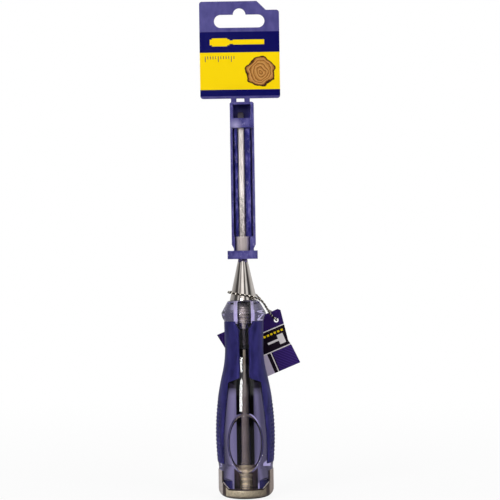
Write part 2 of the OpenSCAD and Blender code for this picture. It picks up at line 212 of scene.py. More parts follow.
# Chain route from the clasp, round the neck, through the tag's hole and back
CHAIN_ROUTE = [
    (-0.5, 10.5, 139.5), (-4, 9.6, 139.6), (-7.5, 6.8, 139.7), (-9.8, 2.6, 139.7), (-9.8, -2, 139.6),
    (-7.8, -6, 139.2), (-4.6, -8.5, 138.7), (-0.8, -9.6, 138.2), (3.2, -9.2, 137.4), (6.8, -7.6, 136.5),
    (9.6, -5.4, 135.3), (12.1, -2.6, 133.6), (14.2, 0.6, 131.3), (15.8, 4.2, 128.7), (17, 8.4, 126.2),
    (18.8, 13, 123.4), (21.2, 16.8, 120.6), (22.6, 18.6, 119.2), (23.2, 20.2, 119.9), (23.2, 21.1, 122),
    (22.2, 21.4, 124), (20.2, 21.4, 124.9), (18.2, 21.3, 125.3), (16.6, 20.8, 126.7), (15.6, 18.7, 128.3),
    (14.7, 16.2, 130.1), (13.3, 13.9, 132.3), (11.2, 12.2, 134.8), (9, 11.1, 137.1), (6.8, 10.6, 138.9)]
CHAIN_D = 1.7
BEAD_PITCH = 3.2
BEAD_SIDES = 12
BEAD_RINGS = 8
# Rings at each bead's ends that take painted shade
SHADED_BEAD_ENDS = (0, 1, 6, 7)
LARGEST_BEAD_FACE = 0.3
LINK_R = 0.5
LINK_SIDES = 8

# Clasp: half of its outline, as (radius, height from its end)
CLASP_OUTLINE = [(0.5, 0.4), (0.5, 0), (1.2, 0), (1.2, 0.7), (1.05, 1.1)]
CLASP_EDGE = 0.25
CLASP_SIDES = 32

# Guard's open channel and the painted shade, shadow, light and highlight on it
GUARD_SHIFT = 0.9
GUARD_FRONT = 5
CHANNEL_HALF = 6.65
RIM_EDGE = 0.15
FLANGE_H = 5.7
POCKET_H = 18
# Share of painted shade in the pocket
POCKET_SHADE = 0.8
# Painted light in the channel's right corner: its width and soft edge
CORNER_W = 0.8
CORNER_SOFT = 0.1
# Painted shadow of the blade across the channel: its span and soft edge
BLADE_SHADE = (-1, 2.4)
BLADE_SHADE_SOFT = 1.8
FLANGE_END = (5.5, 10.2)
# Painted highlight on the bridge: its middle and reach
BRIDGE_SHINE = (-3.6, -GUARD_FRONT, 253.6)
SHINE_R = 5

# Label print: bands, a chisel as boxes of (left, right, half height), a scale and a log end
HEADER_H = 14.2
FOOTER_H = 4.4
CHISEL_SIGN = [(-20.5, -19, 1.9), (-19, -8.5, 2.8), (-8.5, -7, 2), (-7, -4.5, 1.2), (-4.5, 17, 1.7)]
SCALE_LEFT = -24
SCALE_RIGHT = -2.4
SCALE_DROP = 2.5
SCALE_TICKS = [(1.8, 2), (9, 4)]
TICK_W = 0.5
LOG_X = 14
LOG_RISE = 16.6
LOG_R = 10.2
LOG_WOBBLE = 1.2
BARK_T = 1
RING_PITCH = 1.9

# Tag print, from the tag's hole, with a mallet as boxes of (left, right, low, high)
TAG_HOLE = (22.6, 18.6, 119.2)
TAG_TILT = 22.4
BAND_HIGH = -4.6
BAND_LOW = -19.2
LINE_W = 0.7
SIDE_PANEL = -11.5
PALE_CORNER = -15.4
HATCH_PITCH = 2.4
HATCH_W = 0.8
DASH_BOX = (-13, 2.6, -8.4, -7)
DASH_PITCH = 2.6
DASH_W = 1.6
MALLET_SIGN = [(-12, -4, -13.9, -12.4), (-4, 0.4, -16.6, -9.8)]

# Studio: brightness at degrees round the horizon, 0 in front and plus to the right
REFLECTED_STUDIO = [(-180, 0.6), (-143, 0.53), (-112, 0.38), (-92, 0.28), (-82, 0.07), (-58, 0.07),
                    (-50, 0.6), (-43, 0.65), (-37, 0.22), (-29, 0.22), (-22, 0.9), (-12, 1.2), (3, 1.3),
                    (10, 0.2), (14, 0.12), (23, 0.12), (30, 0.75), (39, 0.9), (46, 0.6), (54, 0.05),
                    (76, 0.06), (86, 0.35), (98, 0.45), (108, 0.62), (180, 0.6)]
SEEN_FRONT = [(-110, 0.4), (-70, 0.5), (-55, 0.9), (-40, 1.1), (-20, 1), (0, 0.9), (15, 0.6), (30, 0.4),
              (110, 0.4)]
SEEN_NEAR = [(-180, 0.7), (-172, 0.38), (-168, 0.32), (-163, 0.55), (-158, 0.3), (-152, 0.3), (-145, 0.2),
             *SEEN_FRONT, (140, 0.25), (146, 0.18), (151, 0.26), (157, 0.55), (162, 0.74),
             (168, 0.62), (180, 0.7)]
SEEN_FAR = [(-180, 1.5), (-160.5, 1.5), (-158.5, 0.25), (-140, 0.2), *SEEN_FRONT,
            (140, 0.2), (155, 0.25), (180, 0.25)]
SEEN_SKY = [(-180, 0.4), (-100, 0.4), (-60, 1.2), (-20, 3), (5, 3), (25, 0.8), (60, 0.4), (95, 0.4),
            (105, 1.6), (165, 1.6), (180, 0.4)]

# Boxes of (left, right, low, high) and rises of (low, high) in degrees, each with its brightness
FLAG_BOX = (-45, 45, -20, 12)
FLAG_LEVEL = 0.04
STRIP_BOX = (-24, -11, 4.6, 20)
STRIP_LEVEL = 22
CEILING_RISE = (36, 50)
CEILING_LEVEL = 2.5
ZENITH_RISE = (44, 56)
ZENITH_LEVEL = 0.15
SKY_RISE = (6, 18)
BACK_BOXES = [(-150, -112, 3.6, 9), (-152, -126, -1.5, 2), (85, 131, -1, 2)]
BACK_LEVEL = 1.3
INNER_LEVEL = 3
AMBIENT = 0.45

# Lamps: place and size in metres, and power
LAMPS = [("key_lamp", (-0.7, -0.9, 0.7), 0.6, 5.4), ("fill_lamp", (0.8, -0.8, 0.5), 0.6, 3.6),
         ("back_lamp", (0.2, 1.1, 0.6), 0.8, 6)]

# Floor: its glow to the camera rises over a reach in metres
FLOOR_HALF = 1200
FLOOR_LEVEL = 0.9
FLOOR_MIRRORED = 0.25
FLOOR_GLOW = (0.88, 1)
GLOW_REACH = (0.15, 0.7)

# Edges of CAD nodes that modifiers round
EASED_EDGES = [("strike_cap", 0.4), ("blade_guard", 0.35), ("hanger_plate", 0.3)]

# Clear plastic
CLEAR_IOR = 1.49
CLEAR_TINT = (0.383, 0.327, 0.63, 1)
CLEAR_DENSITY = 60


def node_box(name):
    """Lowest and highest corner of a CAD node in millimetres."""
    low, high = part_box(name)
    return low / MM, high / MM


# Heights and radii read from the frame
cap_top = node_box("strike_cap")[1].z
cap_r = node_box("strike_cap")[1].x
foot_z = node_box("handle_core")[0].z
handle_top = node_box("handle_core")[1].z
grip_z, grip_top = (corner.z for corner in node_box("grip_right"))
belly_r = node_box("grip_right")[1].x
collar_z = grip_top + FIT
anchor_top = node_box("anchor")[1].z
tang_z = handle_top - TANG_LEN
cone_top = handle_top + CONE_LEN


# Mesh helpers

def new_object(name, data):
    """An object in the scene."""
    item = bpy.data.objects.new(name, data)
    bpy.context.scene.collection.objects.link(item)
    return item


def new_piece(name, node, verts, faces, body, slot, sharp=35):
    """A mesh piece, from vertices in millimetres, that takes a CAD node's place on a body."""
    mesh = bpy.data.meshes.new(name)
    mesh.from_pydata([Vector(v) * MM for v in verts], [], faces)
    mesh.validate()
    mesh.shade_smooth()
    mesh.set_sharp_from_angle(angle=radians(sharp))
    piece = new_object(name, mesh)
    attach(piece, body)
    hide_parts(node)
    return piece


def split_long(points):
    """The same outline with points added along its long straight sides."""
    result = [points[0]]
    for a, b in zip(points, points[1:]):
        count = ceil((b - a).length / LONGEST_STEP)
        result += [a.lerp(b, k / count) for k in range(1, count + 1)]
    return result


def filleted(outline, radius, steps=5, closed=False):
    """An outline of 2-D points with its corners rounded, by at most a radius."""
    points = [Vector(p) for p in outline]
    count = len(points)
    result = []
    for i, here in enumerate(points):
        if not closed and i in (0, count - 1):
            result.append(here)
            continue
        to_last = points[i - 1] - here
        to_next = points[(i + 1) % count] - here
        half_turn = (pi - to_last.angle(to_next)) / 2
        room = FILLET_SHARE * min(to_last.length, to_next.length)
        reach = min(radius * tan(half_turn), room)
        if half_turn < LEAST_HALF_TURN or reach < LEAST_REACH:
            result.append(here)
            continue
        start = here + to_last.normalized() * reach
        end = here + to_next.normalized() * reach
        for k in range(steps + 1):
            t = k / steps
            result.append(start * (1 - t) ** 2 + here * 2 * t * (1 - t) + end * t * t)
    return split_long(result)


def around(steps):
    """Angles of equal steps round a circle."""
    return [2 * pi * k / steps for k in range(steps)]


def ring_faces(rings):
    """Faces between each ring of vertices and the next, without the doubled corners at a pole."""
    faces = []
    for low, high in zip(rings, rings[1:]):
        for k in range(len(low)):
            m = (k + 1) % len(low)
            faces.append(list(dict.fromkeys((low[k], low[m], high[m], high[k]))))
    return faces


def lathe(outline, angles, closed=False):
    """Vertices and faces of an outline of (radius, height) turned round Z."""
    steps = len(angles)
    verts, rings = [], []
    for r, z in outline:
        if r < AXIS_R:
            rings.append([len(verts)] * steps)
            verts.append((0, 0, z))
            continue
        rings.append([len(verts) + k for k in range(steps)])
        verts += [(r * cos(a), r * sin(a), z) for a in angles]
    if closed:
        rings.append(rings[0])
    return verts, ring_faces(rings)


def join(*parts):
    """One list of vertices and one of faces from several of each."""
    verts, faces = [], []
    for part_verts, part_faces in parts:
        base = len(verts)
        verts += part_verts
        faces += [[base + i for i in face] for face in part_faces]
    return verts, faces


def along(part, start, end):
    """A part made along Z, moved to start and turned to point at end."""
    start = Vector(start)
    turn = (Vector(end) - start).to_track_quat("Z", "Y")
    verts, faces = part
    return [start + turn @ Vector(v) for v in verts], faces


# Camera

def build_camera():
    """The photograph's view: level, from the front, a little rolled."""
    data = bpy.data.cameras.new("camera")
    camera = new_object("camera", data)
    width = PHOTO_PIXELS / PIXELS_PER_MM
    data.lens = data.sensor_width * CAMERA_DISTANCE / width
    camera.location = Vector((VIEW_X, -CAMERA_DISTANCE, VIEW_Z)) * MM
    camera.rotation_euler = (radians(90), radians(CAMERA_ROLL), 0)
    bpy.context.scene.camera = camera


# Ball chain and clasp

def smooth_route(points, steps=12):
    """A denser route through the same points, on a Catmull-Rom curve."""
    p = [Vector(q) for q in points]
    p = [2 * p[0] - p[1]] + p + [2 * p[-1] - p[-2]]
    route = []
    for a, b, c, d in zip(p, p[1:], p[2:], p[3:]):
        for k in range(steps):
            t = k / steps
            route.append(0.5 * (2 * b + (c - a) * t + (2 * a - 5 * b + 4 * c - d) * t ** 2
                                + (3 * b - a - 3 * c + d) * t ** 3))
    return route + [p[-2]]


def evenly_spaced(route, pitch):
    """Points along a route in equal steps of about a pitch."""
    lengths = [0]
    for a, b in zip(route, route[1:]):
        lengths.append(lengths[-1] + (b - a).length)
    count = round(lengths[-1] / pitch)
    wanted = np.linspace(0, lengths[-1], count + 1)
    axes = [np.interp(wanted, lengths, [p[i] for p in route]) for i in range(3)]
    return [Vector(p) for p in zip(*axes)]


def ball(radius):
    """A small sphere of vertices and faces."""
    turns = [pi * k / BEAD_RINGS for k in range(BEAD_RINGS + 1)]
    return lathe([(radius * sin(turn), -radius * cos(turn)) for turn in turns], around(BEAD_SIDES))


def build_clasp():
    """The clasp: a rolled sleeve with a lip at each end."""
    start, end = Vector(CHAIN_ROUTE[0]), Vector(CHAIN_ROUTE[-1])
    length = (end - start).length
    outline = CLASP_OUTLINE + [(r, length - z) for r, z in reversed(CLASP_OUTLINE)]
    part = along(lathe(filleted(outline, CLASP_EDGE), around(CLASP_SIDES)), start, end)
    return new_piece("chain_clasp_sleeve", "chain_clasp", *part, "tag_loop", "chain_metal")


def build_chain():
    """Beads on short links along the route."""
    beads = evenly_spaced(smooth_route(CHAIN_ROUTE), BEAD_PITCH)
    parts = [along(ball(CHAIN_D / 2), a, b) for a, b in zip(beads, beads[1:])]
    parts.append(along(ball(CHAIN_D / 2), beads[-1], beads[-2]))
    for a, b in zip(beads, beads[1:]):
        link = lathe([(LINK_R, 0), (LINK_R, (b - a).length)], around(LINK_SIDES))
        parts.append(along(link, a, b))
    chain = new_piece("bead_chain", "tag_chain", *join(*parts), "tag_loop", "chain_metal")
    return chain


# Handle core and grips

def handle_radius(z, inset=0):
    """Radius of the handle below the collar, moved inwards by inset."""
    rise, fall = WAIST_Z - BELLY_Z, belly_r - WAIST_R
    both_arcs = (rise * rise + fall * fall) / (2 * fall)
    waist_arc = both_arcs - BELLY_ARC
    touch = BELLY_Z + rise * BELLY_ARC / both_arcs
    belly = lambda h: belly_r - BELLY_ARC + sqrt((BELLY_ARC - inset) ** 2 - (h - BELLY_Z) ** 2)
    waist = lambda h: WAIST_R + waist_arc - sqrt((waist_arc + inset) ** 2 - (h - WAIST_Z) ** 2)
    if z < cap_top + FOOT_LIP:
        return max(belly(z), cap_r - inset)
    if z < touch - STRAIGHT_HALF:
        return belly(z)
    if z < touch + STRAIGHT_HALF:
        t = (z - touch + STRAIGHT_HALF) / (2 * STRAIGHT_HALF)
        return (1 - t) * belly(touch - STRAIGHT_HALF) + t * waist(touch + STRAIGHT_HALF)
    if z < WAIST_Z:
        return waist(z)
    return WAIST_R - inset + (THROAT_R - WAIST_R) * (z - WAIST_Z) / (collar_z - WAIST_Z)


def collar_outline():
    """The clear collar's side, from its underside up to its flat top."""
    rim_z = collar_z + COLLAR_RIM
    rim_x = COLLAR_R - COLLAR_ROUND
    slope = (COLLAR_R - COLLAR_TOP_R) / (handle_top - rim_z)
    points = []
    for z in np.linspace(collar_z, handle_top - FIT, COLLAR_ROWS):
        round_r = rim_x + sqrt(max(0, COLLAR_ROUND ** 2 - (z - rim_z) ** 2))
        cone_r = COLLAR_TOP_R + slope * (handle_top - z)
        points.append((min(round_r, cone_r), z))
    return points


def oval_groove(x, z):
    """Depth of the oval outline's groove at a point of the handle's front."""
    least = 0.01
    across, up = x / OVAL_HALF_W, (z - OVAL_Z) / OVAL_HALF_H
    level = max(hypot(across, up), least)
    slope = hypot(across / OVAL_HALF_W, up / OVAL_HALF_H) / level
    away = (level - 1) / max(slope, least) / OVAL_GROOVE
    return OVAL_DEPTH * exp(-away * away)


def core_angles():
    """Angles round the handle, close together across the oval at its front."""
    front = -pi / 2
    fine = np.linspace(front - OVAL_REACH, front + OVAL_REACH, OVAL_COLUMNS)
    coarse = np.linspace(front + OVAL_REACH, front - OVAL_REACH + 2 * pi, BACK_COLUMNS)
    return [*fine, *coarse[1:-1]]


def core_heights(low, high):
    """Heights up the handle, close together beside the oval."""
    oval_top = OVAL_Z + OVAL_HALF_H + 2 * OVAL_GROOVE
    return [*np.linspace(low, oval_top, OVAL_ROWS), *np.linspace(oval_top, high, NECK_ROWS)[1:]]


def build_core():
    """The clear handle: a turned body with a stepped bore, its foot cut to fit the cap."""
    ear_z = cap_top + CAP_FIT
    ear_half = CAP_HALF - CAP_FIT
    foot = [(cap_r - WINDOW_RECESS, z) for z in np.linspace(foot_z, ear_z, FOOT_ROWS)]
    side = [(handle_radius(z, WINDOW_RECESS), z) for z in core_heights(ear_z, collar_z)]
    steps = [(TANG_R, handle_top - FIT, tang_z - FIT), (ROD_R, tang_z - FIT, anchor_top + FIT),
             (ANCHOR_R, anchor_top + FIT, foot_z)]
    bore = [(r + FIT, z) for r, *ends in steps for z in ends]
    angles = core_angles()
    verts, faces = lathe(foot + side + collar_outline() + bore, angles, closed=True)
    foot_count = len(foot) * len(angles)
    side_count = foot_count + len(side) * len(angles)
    for i, (x, y, z) in enumerate(verts[:side_count]):
        if i < foot_count:
            limit = min(ear_half, ear_half - CAP_CHAMFER + z - foot_z)
            x = max(-limit, min(limit, x))
        if y < 0:
            y += oval_groove(x, z)
        verts[i] = (x, y, z)
    return new_piece("clear_handle", "handle_core", verts, faces, "chisel", "clear_plastic")


def window_half(z):
    """Half width of the clear window at a height, with its corners eased."""
    heights = [grip_z, BELLY_Z, WINDOW_MID_Z, STEP_Z - STEP_SLANT, STEP_Z, collar_z - FLARE_H, grip_top]
    halves = [WINDOW_LOW, WINDOW_LOW, WINDOW_MID, WINDOW_TOP, WINDOW_SLIM, WINDOW_SLIM, WINDOW_FLARE]
    near = np.linspace(z - CORNER_EASE, z + CORNER_EASE, EASE_SAMPLES)
    return float(np.interp(near, heights, halves).mean())


def nub_height(arc, height):
    """1 on top of a nub and 0 between nubs, which stand in staggered rows."""
    row = np.round(height / NUB_PITCH)
    shift = np.where(row % 2 == 0, 0, NUB_PITCH / 2)
    column = np.round((arc - shift) / NUB_PITCH)
    away = np.hypot(height - row * NUB_PITCH, arc - shift - column * NUB_PITCH)
    return np.clip(1 - (away / NUB_R) ** 2, 0, 1)


def faded(value, low, high, soft):
    """1 between two limits, falling smoothly to 0 outside them."""
    rise = np.clip((value - low) / soft + 1, 0, 1)
    fall = np.clip((high - value) / soft + 1, 0, 1)
    return rise * fall


def grip_relief(arc, tall, edge_arc, edge_height):
    """Depth of a grip's rounded edges, and of the hollows between its nubs."""
    to_side = np.hypot(abs(arc)[..., None] - edge_arc, tall[..., None] - edge_height).min(axis=-1)
    to_edge = np.minimum(to_side, np.minimum(tall - grip_z, grip_top - tall))
    inside = np.clip(1 - to_edge / GRIP_EDGE, 0, 1)
    rounded = GRIP_EDGE * (1 - np.sqrt(1 - inside ** 2))
    zone = faded(tall, NUB_LOW, NUB_HIGH, NUB_FADE_Z) * faded(arc, -NUB_REACH, NUB_REACH, NUB_FADE_ARC)
    return rounded + NUB_DEPTH * zone * (1 - nub_height(arc, tall))


def grip_faces():
    """Faces of a grip, over rings along a row of outer vertices and back along a row of inner ones."""
    inner_base = GRIP_ROWS * GRIP_COLUMNS
    rings = []
    for i in range(GRIP_ROWS):
        outer = range(i * GRIP_COLUMNS, (i + 1) * GRIP_COLUMNS)
        inner = range(inner_base + i * INNER_COLUMNS, inner_base + (i + 1) * INNER_COLUMNS)
        rings.append([*outer, *reversed(inner)])
    return [*ring_faces(rings), rings[0][::-1], rings[-1]]


def build_grip(name, side, node):
    """A soft grip: a shell on one side of the handle, with nubs."""
    heights = np.linspace(grip_z, grip_top, GRIP_ROWS)
    radii = np.array([handle_radius(z) for z in heights])
    reach = np.array([acos(window_half(z) / r) for z, r in zip(heights, radii)])
    angle = reach[:, None] * np.linspace(-1, 1, GRIP_COLUMNS)
    inner_angle = reach[:, None] * np.linspace(-1, 1, INNER_COLUMNS)
    tall = np.repeat(heights[:, None], GRIP_COLUMNS, axis=1)
    outer_r = radii[:, None] - grip_relief(radii[:, None] * angle, tall, radii * reach, heights)
    inner_r = [[handle_radius(z, GRIP_T)] * INNER_COLUMNS for z in heights]
    verts = []
    for rows_r, rows_angle in ((outer_r, angle), (inner_r, inner_angle)):
        for row_r, row_angle, z in zip(rows_r, rows_angle, heights):
            verts += [(side * r * cos(a), side * r * sin(a), z) for r, a in zip(row_r, row_angle)]
    return new_piece(name, node, verts, grip_faces(), "chisel", "soft_grip", sharp=50)


# Steel inside the handle, and the blade

def grooved(outline, r, z, end_z, pitch, width, depth, count):
    """Adds a straight side with a row of V grooves to an outline."""
    outline.append((r, z))
    for i in range(1, count + 1):
        middle = z + i * pitch
        outline += [(r, middle - width / 2), (r - depth, middle), (r, middle + width / 2)]
    outline.append((r, end_z))


def build_turned(name, node, slot, outline, rounding, closed=False):
    """A turned piece on the chisel's axis with eased edges."""
    outline = filleted(outline, rounding, TURNED_STEPS, closed)
    verts, faces = lathe(outline, around(TURNED_SIDES), closed)
    return new_piece(name, node, verts, faces, "chisel", slot, sharp=50)


def build_rod():
    """The rod from the anchor to the sleeve, with its spigot."""
    low, high = node_box("core_rod")
    sleeve_low = node_box("tang_sleeve")[0].z
    outline = [(0, low.z), (ROD_R, low.z), (ROD_R, sleeve_low), (SPIGOT_R, sleeve_low),
               (SPIGOT_R, high.z), (0, high.z)]
    return build_turned("handle_rod", "core_rod", "rod_steel", outline, ROD_EDGE)


def build_sleeve():
    """The dark coupling sleeve between the rod and the tang."""
    low, high = node_box("tang_sleeve")
    hole = SPIGOT_R + FIT
    outline = [(hole, high.z), (hole, low.z), (ROD_R, low.z), (ROD_R, high.z)]
    return build_turned("coupling_sleeve", "tang_sleeve", "dark_steel", outline, SLEEVE_EDGE, closed=True)


def build_anchor():
    """The ribbed anchor that holds the cap."""
    low, high = node_box("anchor")
    base_z = high.z - ANCHOR_LEN
    pitch = ANCHOR_LEN / (ANCHOR_GROOVES + 1)
    outline = [(0, low.z), (SPIGOT_R, low.z), (SPIGOT_R, base_z)]
    grooved(outline, ANCHOR_R, base_z, high.z, pitch, RIB_SHARE * pitch, RIB_DEPTH, ANCHOR_GROOVES)
    outline.append((0, high.z))
    return build_turned("ribbed_anchor", "anchor", "anchor_steel", outline, RIB_EDGE)


def blade_prism(low_z, tip_z):
    """The narrow blade: a bar with eased edges, ground to a bevel on its front."""
    half_w, half_t = BLADE_W / 2, BLADE_T / 2
    flat_w, flat_t = half_w - BLADE_EASE, half_t - BLADE_EASE
    right = [(flat_w, -half_t), (half_w, -flat_t), (half_w, flat_t), (flat_w, half_t)]
    section = right + [(-x, y) for x, y in reversed(right)]
    count = len(section)
    verts = [(x, y, low_z) for x, y in section]
    verts += [(x, y, tip_z - (half_t - y) / tan(radians(BEVEL_ANGLE))) for x, y in section]
    low, high = list(range(count)), list(range(count, 2 * count))
    return verts, [*ring_faces([low, high]), low[::-1], high]


def build_blade():
    """The forging: knurled tang, polished cone, neck, round shoulder and blade."""
    low, high = node_box("blade")
    shoulder_z = cone_top + NECK_LEN
    shoulder_top = shoulder_z + SHOULDER_LEN
    plain_z = tang_z - TANG_PLAIN
    outline = [(0, low.z), (SPIGOT_R, low.z), (SPIGOT_R, plain_z), (ROD_R, plain_z), (ROD_R, tang_z)]
    grooved(outline, TANG_R, tang_z, handle_top, KNURL_PITCH, KNURL_WIDTH, GROOVE_DEPTH, KNURL_GROOVES)
    turned = filleted(outline, KNURL_EDGE, TURNED_STEPS)
    polished = [(TANG_R, handle_top), (CONE_R, handle_top), (NECK_R, cone_top), (NECK_R, shoulder_z),
                (SHOULDER_R, shoulder_z), (SHOULDER_R, shoulder_top), (0, shoulder_top)]
    turned += filleted(polished, FORGED_EDGE)[1:]
    bar = blade_prism(shoulder_top - BLADE_SEAT, high.z)
    verts, faces = join(lathe(turned, around(FORGED_SIDES)), bar)
    return new_piece("chisel_blade", "blade", verts, faces, "chisel", "blade_steel", sharp=30)


# Material helpers

def colour(red, green, blue):
    """A linear colour from three 0 to 255 values as a screen shows them."""
    linear = lambda c: c / 12.92 if c <= 0.04045 else ((c + 0.055) / 1.055) ** 2.4
    return tuple(linear(c / 255) for c in (red, green, blue)) + (1,)


def grey(level):
    """A linear grey of a brightness, which may pass 1 in a light."""
    return (level, level, level, 1)


# Colours
WHITE = grey(1)
NAVY = colour(4, 4, 82)
YELLOW = colour(252, 216, 6)
BARK = colour(66, 38, 18)
VIOLET = colour(46, 26, 92)
LIGHT_VIOLET = colour(62, 42, 122)
PALE_VIOLET = colour(196, 184, 206)
BLACK = colour(20, 9, 24)
# Painted shade, laid where shade falls on the steel in the bores and in the clear plastic
PAINTED_SHADE = colour(24, 20, 22)
PAPER = colour(232, 226, 226)

# A noise that no axis stretches
EVEN = (1, 1, 1)


def new_material(name, settings):
    """A Principled material with constants set on its sockets, and its node tree."""
    material = bpy.data.materials.new(name)
    material.use_nodes = True
    shader = material.node_tree.nodes["Principled BSDF"]
    for socket, value in settings.items():
        shader.inputs[socket].default_value = value
    return material, material.node_tree


def add_node(tree, kind, inputs=(), **settings):
    """A node with its settings, and its inputs set or linked."""
    node = tree.nodes.new(kind)
    for key, value in settings.items():
        setattr(node, key, value)
    for socket, value in dict(inputs).items():
        if isinstance(value, bpy.types.NodeSocket):
            tree.links.new(value, node.inputs[socket])
        else:
            node.inputs[socket].default_value = value
    return node


def fed(kind, inputs, **settings):
    """A node in the same tree as the first socket that feeds it."""
    source = next(value for value in inputs.values() if isinstance(value, bpy.types.NodeSocket))
    return add_node(source.id_data, kind, inputs, **settings)


def place(tree, stretch=EVEN):
    """The point on the object, in millimetres, stretched along each axis."""
    point = add_node(tree, "ShaderNodeTexCoord").outputs["Object"]
    scale = [s / MM for s in stretch]
    return fed("ShaderNodeMapping", {"Vector": point, "Scale": scale}).outputs["Vector"]


def split_axes(vector):
    """The X, Y and Z of a vector."""
    node = fed("ShaderNodeSeparateXYZ", {"Vector": vector})
    return [node.outputs[axis] for axis in "XYZ"]


def between(operation, first, second, output=0):
    """The result of one Vector Math node."""
    return fed("ShaderNodeVectorMath", {0: first, 1: second}, operation=operation).outputs[output]


def distance(tree, point):
    """Distance on the object from a point in millimetres."""
    return between("DISTANCE", place(tree), point, "Value")


def noise(tree, stretch, scale, detail=3, roughness=0.5):
    """Noise from 0 to 1, with its scale in waves per millimetre."""
    inputs = {"Vector": place(tree, stretch), "Scale": scale, "Detail": detail, "Roughness": roughness}
    return fed("ShaderNodeTexNoise", inputs).outputs["Fac"]


def spread(value, low, high, start=0.3, end=0.7):
    """A value from start to end mapped to low to high."""
    inputs = {"Value": value, "From Min": start, "From Max": end, "To Min": low, "To Max": high}
    return fed("ShaderNodeMapRange", inputs).outputs["Result"]


def shades(value, stops):
    """A colour ramp over a value, with stops of (place, linear colour)."""
    node = fed("ShaderNodeValToRGB", {"Fac": value})
    ramp = node.color_ramp
    while len(ramp.elements) < len(stops):
        ramp.elements.new(1)
    for element, (where, tint) in zip(ramp.elements, stops):
        element.position = where
        element.color = tint
    return node.outputs["Color"]


def tones(value, stops):
    """A colour ramp over a value, with stops of (place, colour as a screen shows it)."""
    return shades(value, [(where, colour(*tint)) for where, tint in stops])


def calc(operation, first, second=0):
    """The result of one Math node."""
    return fed("ShaderNodeMath", {0: first, 1: second}, operation=operation).outputs[0]


def both(first, second):
    """The product of two masks."""
    return calc("MULTIPLY", first, second)


def within(value, low, high):
    """1 where a value lies between two limits, 0 elsewhere."""
    return both(calc("GREATER_THAN", value, low), calc("LESS_THAN", value, high))


def faded_band(value, low, high, soft=0.4):
    """1 between two limits, fading to 0 beside them."""
    return both(spread(value, 0, 1, low - soft, low), spread(value, 1, 0, high, high + soft))


def panel(axes, left, right, low, high):
    """1 inside a rectangle across two axes, 0 elsewhere."""
    return both(within(axes[0], left, right), within(axes[1], low, high))


def stripes(value, pitch, width):
    """1 on stripes that repeat along a value, 0 between them."""
    return calc("LESS_THAN", calc("FLOORED_MODULO", value, pitch), width)


def over(under, mask, tint):
    """A colour laid over another where the mask is 1."""
    return fed("ShaderNodeMixRGB", {"Fac": mask, "Color1": under, "Color2": tint}).outputs["Color"]


def brightened(tint, value):
    """A colour made brighter or darker by a value."""
    return fed("ShaderNodeHueSaturation", {"Color": tint, "Value": value}).outputs["Color"]


def print_axes(tree, origin, right, up):
    """Millimetres to the right of and above a point on a printed face."""
    here = between("SUBTRACT", place(tree), origin)
    return [between("DOT_PRODUCT", here, axis, "Value") for axis in (right, up)]


def to_shader(socket, value):
    """Links a value to an input of its tree's shader."""
    tree = value.id_data
    tree.links.new(value, tree.nodes["Principled BSDF"].inputs[socket])


def roughen(height, depth):
    """Bump from a height texture, with its depth in millimetres."""
    to_shader("Normal", fed("ShaderNodeBump", {"Height": height, "Distance": depth * MM}).outputs["Normal"])


def dress(tint, texture, rough, depth=0):
    """Gives a shader its colour, and from a texture its range of roughness and its bump."""
    to_shader("Base Color", tint)
    to_shader("Roughness", spread(texture, *rough))
    if depth:
        roughen(texture, depth)


# Materials

def steel(name, dark, light, rough, grain=EVEN, grain_scale=2, depth=0.01, metallic=1, patch_scale=0.12,
          bands=()):
    """Metal with grain lines where the grain is stretched, with painted shade along an axis for each band.
    """
    material, tree = new_material(name, {"Metallic": metallic})
    tint = tones(noise(tree, EVEN, patch_scale), [(0.35, dark), (0.65, light)])
    axes = dict(zip("XYZ", split_axes(place(tree))))
    # Each band lays painted shade along an axis
    for axis, start, end in bands:
        tint = over(tint, spread(axes[axis], 0, 1, start, end), PAINTED_SHADE)
    dress(tint, noise(tree, grain, grain_scale, 4, 0.6), rough, depth)
    return material


def painted_reflection_film(name, dark, light):
    """A painted reflection laid as a film on the wall of one of the handle's bores."""
    material, tree = new_material(name, {"Specular IOR Level": 0.1})
    streaks = noise(tree, (1, 1, 0.1), 1)
    dress(tones(streaks, [(0.3, dark), (0.7, light)]), streaks, (0.4, 0.6))
    return material


def ground_steel():
    """Bright blade steel with grinding lines, speckled with stains over its lower half."""
    material, tree = new_material("ground_steel", {"Metallic": 0.5})
    patches = noise(tree, (1, 1, 0.3), 0.25)
    tint = tones(patches, [(0.35, (180, 171, 168)), (0.65, (212, 203, 200))])
    height = split_axes(place(tree))[2]
    stained = spread(noise(tree, (1, 1, 0.5), 0.8, 5, 0.7), 0, 0.75, 0.42, 0.62)
    stained = both(stained, faded_band(height, *STAIN, STAIN_SOFT))
    tint = over(tint, stained, colour(84, 77, 74))
    dress(tint, noise(tree, (0.2, 0.2, 1), 1.5, 4, 0.6), (0.3, 0.45), 0.01)
    return material


def satin_steel():
    """Satin steel of the shoulder, with painted light towards its sides."""
    material, tree = new_material("satin_steel", {"Metallic": 0.2})
    grain = noise(tree, EVEN, 1.5, 4, 0.6)
    sideways = calc("ABSOLUTE", split_axes(place(tree))[0])
    # Painted light on the shoulder's sides
    painted_side_light = spread(sideways, 0, 1, SHOULDER_R / 2, SHOULDER_R)
    tint = over(colour(186, 174, 172), painted_side_light, colour(240, 228, 228))
    dress(brightened(tint, spread(grain, 0.92, 1.04)), grain, (0.45, 0.6), 0.02)
    return material


